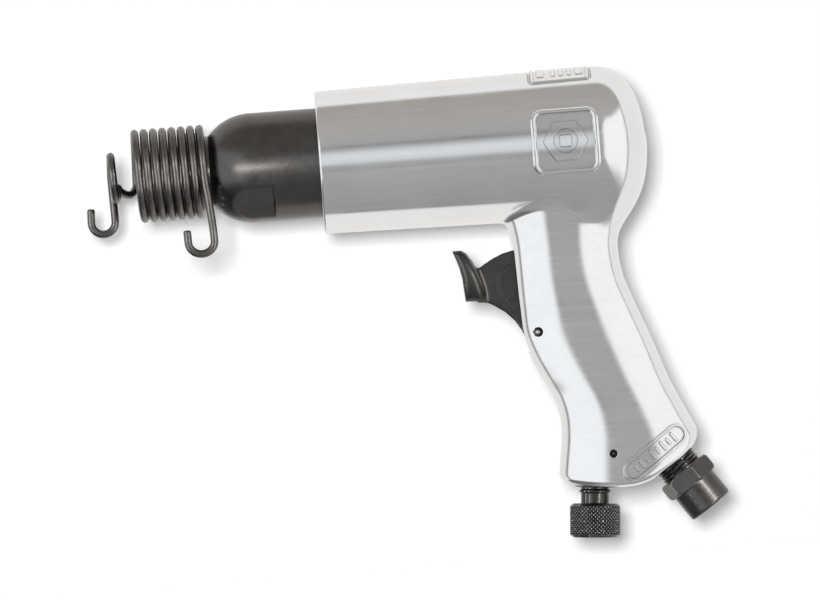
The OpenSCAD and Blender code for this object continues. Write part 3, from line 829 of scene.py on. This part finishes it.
PAD_OUTLINE = [
    (90.6, -34.0), (91.9, -36.9), (93.2, -40.2), (94.0, -44.2), (94.15, -48), (94.2, -52.3),
    (101.5, -52.6), (101.45, -49.2), (100.6, -45.2), (99.3, -41.4), (97.6, -37.9), (95.7, -35.2),
    (93.9, -33.9),
]
WEB_OUTLINE = [
    (98.4, -41.4), (101.4, -39.4), (104.6, -37.6), (107.9, -36.2), (111.1, -35.4), (113.6, -35.3),
    (116.3, -42), (118.7, -47.5), (118.9, -54), (120.9, -60.1), (123.0, -62.3), (123.4, -64.4),
    (121.9, -67.9), (118.4, -69.4), (114.9, -67.9), (113.6, -65.4), (112.6, -63.2), (110.6, -60.0),
    (107.6, -56.9), (104.2, -54.5), (101.0, -52.7), (99.0, -52.5),
]


def trigger_field(x, y, z):
    across = np.abs(y)
    pad_half = 7.2 + 2.7 * np.sin(np.clip((z + 52.6) / 18.7, 0, 1) * math.pi) ** 0.8
    scoop = 0.01225 * np.minimum(across, 8) ** 2
    pad = smooth_max(polygon_distance(x + scoop, z, PAD_OUTLINE) + 0.25, across - pad_half, 2.6)
    web = smooth_max(polygon_distance(x, z, WEB_OUTLINE) + 0.1, across - 5.65, 1.1)
    body = smooth_min(pad, web, 1.8)
    from_boss = np.hypot(x - TRIGGER_BOSS[0], z - TRIGGER_BOSS[1])
    ring = np.maximum(np.abs(from_boss - 6.1) - 0.42, 5.15 - across)
    dish = np.maximum(from_boss - 5.7, 5.4 - across)
    body = smooth_max(body, -np.minimum(ring, dish), 0.25)
    return smooth_max(body, 1.76 - np.hypot(x - PIVOT[0], z - PIVOT[1]), 0.3)


def make_trigger():
    lo, hi = (88.5, -11.5, -71), (125, 11.5, -32)
    passes = [(12, None), (16, None), (22, None)]
    obj = implicit_object("trigger_lever", trigger_field, lo, hi, 0.55, passes)
    obj.visible_glossy = False  # the polished slot doesn't mirror it as a dark patch
    return finish_piece(obj, "trigger_lever", "black_steel", MATERIALS["trigger"], "trigger")


# ---------------------------------------------------------------- throttle spring

def make_throttle_spring():
    """The conical return spring, which shortens between the throttle's head and the bore's end."""
    wire_r, turns, small_r, growth = 0.45, 4, 3.5, 1.4
    lo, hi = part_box("throttle_spring")
    front, rear = lo[0] / MM + wire_r, hi[0] / MM - wire_r
    share = np.linspace(0, 1, turns * 24 + 1)
    r, angle = small_r + growth * share, 2 * math.pi * turns * share
    path = np.stack([front + (rear - front) * share, r * np.cos(angle),
                     THROTTLE_Z + r * np.sin(angle)], 1)
    obj = swept_wire("throttle_return_spring", path, wire_r, 10)
    steel = MATERIALS["spring_steel"]
    finish_piece(obj, "throttle_valve", "spring_steel", steel, "throttle_spring")
    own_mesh(obj)


# ---------------------------------------------------------------- regulator

KNURLS = 40
KNOB_R, KNOB_TOP, KNOB_LEN = 8.75, -5.0, 11.8


def knurl_warp(r, s, angle):
    """Diamond knurling on the knob's rim, fading at its chamfers."""
    bottom = KNOB_TOP - KNOB_LEN
    if not (bottom + 1.0 < s < KNOB_TOP - 1.0) or r[0] < KNOB_R - 0.3:
        return r
    pitch = 2 * math.pi * KNOB_R / KNURLS
    turns = angle * KNURLS / (2 * math.pi)
    first = np.abs((turns + s / pitch) % 1 - 0.5) * 2
    second = np.abs((turns - s / pitch) % 1 - 0.5) * 2
    peak = np.minimum(first, second)
    return r - 0.5 * (1 - np.clip(peak * 1.5, 0, 1))


def make_regulator():
    bottom = KNOB_TOP - KNOB_LEN
    profile = fillet_profile([
        (0, bottom + 0.5), (5.2, bottom + 0.5, 0.4), (5.8, bottom, 0.3),
        (KNOB_R - 1.1, bottom, 0.25), (KNOB_R, bottom + 1.0, 0.15),
        (KNOB_R, KNOB_TOP - 1.0, 0.15), (KNOB_R - 1.1, KNOB_TOP, 0.25),
        (4.87, KNOB_TOP, 0.35), (4.87, -1.3, 0.3), (5.5, -1.1, 0.2), (5.5, -0.4, 0.2),
        (4.87, -0.1, 0.2), (4.87, 0.8), (6.7, 0.8), (7, 1.1), (7, 7), (4.7, 7), (4.7, 14), (7, 14),
        (7, 24.4), (5.15, 24.4), (5.15, 26.6), (7, 26.6), (7, 29), (3.8, 30), (3.8, 38),
        (5.6, 38.6), (5.6, 41), (4.4, 42), (0, 42),
    ])
    profile = dense(profile, bottom + 0.9, KNOB_TOP - 0.9, 0.19)
    obj = lathe("regulator_knob", profile, KNURLS * 10, on_axis(REG_FOOT, REG_TILT), knurl_warp)
    return finish_piece(obj, "regulator", "black_steel", MATERIALS["knob"], "regulator_screw")


# ---------------------------------------------------------------- inlet

NECK_OUT, HEX_LEN, END_LEN = 4.0, 6.0, 9.8


def inlet_warp(r, s, angle):
    """Hexagon, outer thread and inner pipe thread of the bushing."""
    hex_top = NECK_OUT + HEX_LEN
    if NECK_OUT - 0.01 <= s <= hex_top + 0.01 and r[0] > 8.5:
        flat = np.abs(np.degrees(angle - HEX_TURN) % 60 - 30)
        return smooth_min(r, HEX_ACROSS / 2 / np.cos(np.radians(flat)), 0.25)
    if r[0] > 7.7 and s < NECK_OUT - 0.3:
        phase = (s / 1.25 - angle / (2 * math.pi)) % 1
        return r - 0.75 * np.abs(phase - 0.5) * 2 * (s > -1.5)
    if r[0] < 5.7 and s > 6.2:
        phase = (s / 1.41 - angle / (2 * math.pi)) % 1
        return r + 0.55 * np.abs(phase - 0.5) * 2 * (s < NECK_OUT + HEX_LEN + END_LEN - 0.8)
    return r


def make_inlet():
    top, tip = NECK_OUT + HEX_LEN, NECK_OUT + HEX_LEN + END_LEN
    profile = fillet_profile([
        (4.6, 3.8), (4.6, -12.8), (7.6, -12.8), (7.8, -12.5), (7.8, -1.5), (7.8, 3.1, 0.1),
        (7.2, 3.5, 0.2), (7.2, 4.0), (9.2, NECK_OUT, 0.15), (10.15, NECK_OUT + 1.0, 0.3),
        (10.15, top - 1.0, 0.3), (9.2, top, 0.15),
        (8.25, top, 0.3), (8.2, top + 0.5, 0.2), (8.2, tip - 0.7, 0.3), (7.6, tip, 0.3),
        (6.4, tip, 0.2), (5.6, tip - 0.8, 0.1), (5.6, 3.8), (4.6, 3.8),
    ])
    profile = dense(profile, -1.5, 3.2, 0.17)
    profile = dense(profile, NECK_OUT - 0.01, top + 0.01, 0.4)
    profile = dense(profile, 3.7, tip - 0.7, 0.2)
    place = on_axis(INLET_FOOT, INLET_TILT)
    obj = lathe("inlet_bushing_body", profile, 144, place, inlet_warp, HEX_TURN)
    return finish_piece(obj, "tool_body", "black_steel", MATERIALS["inlet"], "inlet_bushing")


# ---------------------------------------------------------------- cross pins

def make_pin(node, spot, radius, half, crown):
    """A pin across the grip. Each end is a domed crown in a deep groove."""
    dome_r = crown * math.sqrt(2)
    dome = [(dome_r * math.sin(a), half - dome_r * (1 - math.cos(a)))
            for a in np.radians(np.linspace(45, 0, 7))]
    groove = half - 1.3
    end = [(radius, groove - 0.1), (radius - 0.1, groove), (crown, groove)] + dome
    profile = [(r, -s) for r, s in reversed(end)] + end
    place = Matrix.Translation((spot[0], 0, spot[1])) @ Matrix.Rotation(math.pi / 2, 4, "X")
    obj = lathe(node + "_turned", profile, 32, place)
    return finish_piece(obj, "tool_body", "ground_steel", MATERIALS["ground_steel"], node)


# ---------------------------------------------------------------- studio

def backdrop_material(name, tone, glow):
    """Pale matt surface that lifts itself a little and vanishes from behind."""
    material = bpy.data.materials.new(name)
    material.use_nodes = True
    tree = material.node_tree
    tree.nodes.clear()
    out = tree.nodes.new("ShaderNodeOutputMaterial")
    diffuse = tree.nodes.new("ShaderNodeBsdfDiffuse")
    diffuse.inputs["Color"].default_value = (tone, tone, tone, 1)
    emit = tree.nodes.new("ShaderNodeEmission")
    emit.inputs["Strength"].default_value = glow
    add = tree.nodes.new("ShaderNodeAddShader")
    tree.links.new(diffuse.outputs[0], add.inputs[0])
    tree.links.new(emit.outputs[0], add.inputs[1])
    clear = tree.nodes.new("ShaderNodeBsdfTransparent")
    side = tree.nodes.new("ShaderNodeNewGeometry")
    mix = tree.nodes.new("ShaderNodeMixShader")
    tree.links.new(side.outputs["Backfacing"], mix.inputs[0])
    tree.links.new(add.outputs[0], mix.inputs[1])
    tree.links.new(clear.outputs[0], mix.inputs[2])
    tree.links.new(mix.outputs[0], out.inputs["Surface"])
    return material


def plane(name, corners):
    mesh = bpy.data.meshes.new(name)
    mesh.from_pydata(corners, [], [(0, 1, 2, 3)])
    obj = new_object(name, mesh)
    return obj


def reflector(name, corners, strength):
    """A card that glows along its middle and that only reflections see."""
    obj = plane(name, corners)
    material = bpy.data.materials.new(name)
    material.use_nodes = True
    tree = material.node_tree
    tree.nodes.clear()
    emit = tree.nodes.new("ShaderNodeEmission")
    emit.inputs["Color"].default_value = (0.97, 1.0, 1.03, 1)
    spot = tree.nodes.new("ShaderNodeTexCoord")
    parts = tree.nodes.new("ShaderNodeSeparateXYZ")
    glow = tree.nodes.new("ShaderNodeValToRGB")
    stops = [(0.0, 0.42), (0.22, 0.9), (0.5, 1.0), (0.7, 0.92), (1.0, 0.45)]
    while len(glow.color_ramp.elements) < len(stops):
        glow.color_ramp.elements.new(0.5)
    for element, (at, level) in zip(glow.color_ramp.elements, stops):
        element.position = at
        element.color = (level * strength, level * strength, level * strength, 1)
    tree.links.new(spot.outputs["Generated"], parts.inputs[0])
    tree.links.new(parts.outputs[2], glow.inputs["Fac"])
    tree.links.new(glow.outputs["Color"], emit.inputs["Strength"])
    out = tree.nodes.new("ShaderNodeOutputMaterial")
    tree.links.new(emit.outputs[0], out.inputs["Surface"])
    obj.data.materials.append(material)
    obj.visible_camera = False
    obj.visible_diffuse = False
    obj.visible_shadow = False
    obj.visible_transmission = False
    return obj


def studio_world():
    """White room behind the tool and grey room in front of it, with bright sides."""
    world = bpy.data.worlds.new("studio")
    bpy.context.scene.world = world
    world.use_nodes = True
    tree = world.node_tree
    tree.nodes.clear()
    link = tree.links.new

    def calc(operation, a, b=0.0):
        node = tree.nodes.new("ShaderNodeMath")
        node.operation = operation
        for socket, value in zip(node.inputs, (a, b)):
            if isinstance(value, (int, float)):
                socket.default_value = value
            else:
                link(value, socket)
        return node.outputs[0]

    def soft(value, start, end):
        node = tree.nodes.new("ShaderNodeMapRange")
        node.interpolation_type = "SMOOTHSTEP"
        node.inputs["From Min"].default_value = start
        node.inputs["From Max"].default_value = end
        link(value, node.inputs["Value"])
        return node.outputs["Result"]

    def ramp(value, stops):
        node = tree.nodes.new("ShaderNodeValToRGB")
        while len(node.color_ramp.elements) < len(stops):
            node.color_ramp.elements.new(0.5)
        for element, (at, grey, warm) in zip(node.color_ramp.elements, stops):
            element.position = at
            element.color = (grey * (1 + warm), grey, grey * (1 - warm), 1)
        link(value, node.inputs["Fac"])
        return node.outputs["Color"]

    def mix(factor, a, b):
        node = tree.nodes.new("ShaderNodeMix")
        node.data_type = "RGBA"
        link(factor, node.inputs[0])
        for socket, value in zip((node.inputs[6], node.inputs[7]), (a, b)):
            if isinstance(value, tuple):
                socket.default_value = (*value, 1)
            else:
                link(value, socket)
        return node.outputs[2]

    coord = tree.nodes.new("ShaderNodeTexCoord")
    parts = tree.nodes.new("ShaderNodeSeparateXYZ")
    link(coord.outputs["Generated"], parts.inputs[0])
    x, y, z = parts.outputs
    front = calc("MULTIPLY", y, -1.0)
    # height round the X axis: 0 is straight down, 0.25 the front, 0.5 up, 0.75 the back
    height = calc("ADD", calc("DIVIDE", calc("ARCTAN2", z, front), 2 * math.pi), 0.25)
    height = calc("FRACT", calc("ADD", height, 1.0))

    def turn(degrees):
        return ((degrees + 90) / 360) % 1

    bands = ramp(height, [
        (0.0, 0.34, -0.01), (turn(-50), 0.38, 0.0), (turn(-17), 0.42, 0.0), (turn(-15), 0.33, 0.0),
        (turn(-12), 0.41, 0.0), (turn(17), 0.42, 0.0), (turn(22), 0.24, 0.0),
        (turn(24.5), 0.40, 0.01), (turn(45), 0.42, 0.03), (turn(100), 0.38, 0.07), (turn(103.5), 0.92, -0.005),
        (turn(125), 0.88, 0.022), (turn(180), 0.86, 0.025), (turn(262), 0.90, 0.02),
        (turn(264.8), 0.89, 0.02), (turn(266.6), 0.14, 0.0), (turn(268), 0.32, -0.01),
        (1.0, 0.34, -0.01),
    ])
    # sideways: 0 faces the front, 1 the back
    aside = calc("DIVIDE", calc("ARCTAN2", calc("ABSOLUTE", x), front), math.pi)
    left_side = ramp(aside, [
        (0.0, 0.38, 0), (0.062, 0.38, 0), (0.092, 1.02, -0.02), (0.54, 1.02, -0.02),
        (0.57, 0.30, 0.02), (0.61, 0.34, 0.05), (0.64, 0.86, 0.02), (1.0, 0.84, 0.02),
    ])
    right_side = ramp(aside, [
        (0.0, 0.38, 0), (0.060, 0.38, 0), (0.090, 1.02, -0.015), (0.50, 1.02, -0.015),
        (0.508, 0.25, 0.02), (0.52, 0.25, 0.02), (0.53, 0.88, 0.02), (1.0, 0.86, 0.02),
    ])
    sides = mix(calc("GREATER_THAN", x, 0.0), left_side, right_side)
    beyond = calc("MAXIMUM", soft(z, 0.50, 0.60), soft(calc("MULTIPLY", z, -1.0), 0.48, 0.82))
    aslant = calc("SUBTRACT", calc("ABSOLUTE", x), calc("MULTIPLY", calc("MULTIPLY", z, z), 0.8))
    share = calc("MULTIPLY", soft(aslant, 0.09, 0.13), calc("SUBTRACT", 1.0, beyond))
    room = mix(share, bands, sides)
    # the tool's own shade under the front of the grip's shoulder
    down = calc("MULTIPLY", z, -1.0)
    under = calc("MULTIPLY", soft(calc("MULTIPLY", x, -1.0), 0.14, 0.26), soft(down, 0.40, 0.52))
    forward = calc("MULTIPLY", x, -1.0)
    shade = mix(soft(forward, 0.28, 0.5), (0.345, 0.345, 0.35), (0.17, 0.17, 0.175))
    room = mix(under, room, shade)
    seen = tree.nodes.new("ShaderNodeLightPath")
    final = mix(seen.outputs["Is Camera Ray"], room, (0.99, 0.99, 0.99))
    final = mix(seen.outputs["Is Diffuse Ray"], final, (0.0, 0.0, 0.0))
    shader = tree.nodes.new("ShaderNodeBackground")
    link(final, shader.inputs["Color"])
    out = tree.nodes.new("ShaderNodeOutputWorld")
    link(shader.outputs[0], out.inputs["Surface"])


def area_light(name, spot, target, size, power, tall=None):
    light = bpy.data.lights.new(name, "AREA")
    light.size = size
    if tall:
        light.shape = "RECTANGLE"
        light.size_y = tall
    light.energy = power
    obj = bpy.data.objects.new(name, light)
    bpy.context.scene.collection.objects.link(obj)
    obj.location = spot
    obj.rotation_euler = (Vector(target) - Vector(spot)).to_track_quat("-Z", "Y").to_euler()
    obj.visible_glossy = False
    obj.visible_camera = False
    return obj


def lit_only(light, name, pieces):
    """Keeps a light's effect to some pieces, which may mirror it."""
    group = bpy.data.collections.new(name)
    for obj in pieces:
        group.objects.link(obj)
    light.light_linking.receiver_collection = group
    light.visible_glossy = True


def sheet_of_paper(name, corners, tone, glow):
    """A wall or floor that reflections don't see."""
    obj = plane(name, corners)
    obj.data.materials.append(backdrop_material(name + "_paper", tone, glow))
    obj.visible_glossy = False
    return obj


def make_studio(barrel, wire_and_fittings):
    lo, hi = cad_box
    left, right, reach, floor_z, wall_y = -0.9, 1.1, 0.9, lo.z - 0.0065, hi.y + 0.003
    sheet_of_paper("backdrop", [(left, wall_y, floor_z), (right, wall_y, floor_z),
                                (right, wall_y, reach), (left, wall_y, reach)], 0.67, 0.36)
    floor = sheet_of_paper("floor", [(left, -reach, floor_z), (right, -reach, floor_z),
                                     (right, reach, floor_z), (left, reach, floor_z)], 0.60, 0.92)
    floor.visible_diffuse = False
    studio_world()
    for sign, name in ((-1, "front"), (1, "rear")):
        y, front_x, rear_x, low, high = sign * 0.10, 0.03, 0.143, -0.016, 0.0285
        reflector(name + "_strip", [(front_x, y, low), (rear_x, y, low),
                                    (rear_x, y, high), (front_x, y, high)], 0.80)
    centre = Vector((0.08, 0.0, -0.05))
    area_light("key", centre + Vector((-0.345, -4.0, 0.345)), centre, 0.74, 160)
    along = (-0.011, 0, -0.0005)
    glint = area_light("glint", (along[0], -0.16, along[2]), along, 0.148, 0.078, 0.014)
    lit_only(glint, "lit_along", [barrel])
    for side, degrees, power in (("left", -46, 8.0), ("right", 37, 12.0)):
        turn = math.radians(degrees)
        spot = centre + 1.5 * Vector((math.sin(turn), -math.cos(turn), 0.02))
        strip = area_light("glint_" + side, spot, centre, 0.08, power, 1.6)
        lit_only(strip, "lit_" + side, wire_and_fittings)


def make_camera():
    """Square to the tool's side, rolled by the 4.3 degrees at which it lies."""
    roll = math.radians(4.3)
    centre = Vector((74.7, 0, -51.2)) * MM
    distance, width = 4.0, 0.2854
    camera = bpy.data.cameras.new("camera")
    camera.sensor_width = 36
    camera.lens = 36 * distance / width
    obj = bpy.data.objects.new("camera", camera)
    bpy.context.scene.collection.objects.link(obj)
    right = Vector((math.cos(roll), 0, -math.sin(roll)))
    up = Vector((math.sin(roll), 0, math.cos(roll)))
    back = Vector((0, -1, 0))
    turn = Matrix((right, up, back)).transposed().to_4x4()
    obj.matrix_world = Matrix.Translation(centre + back * distance) @ turn
    bpy.context.scene.camera = obj
    bpy.context.scene.view_settings.view_transform = "Standard"


make_camera()
paint_nodes()
make_housing()
make_pin("trigger_pin", PIVOT, TRIGGER_PIN_R, 12.1, 0.85)
make_pin("regulator_pin", REGULATOR_PIN, REGULATOR_PIN_R, 11.9, 0.6)
make_throttle_spring()
barrel = make_barrel()
make_studio(barrel, [make_retainer(), make_trigger(), make_regulator(), make_inlet()])
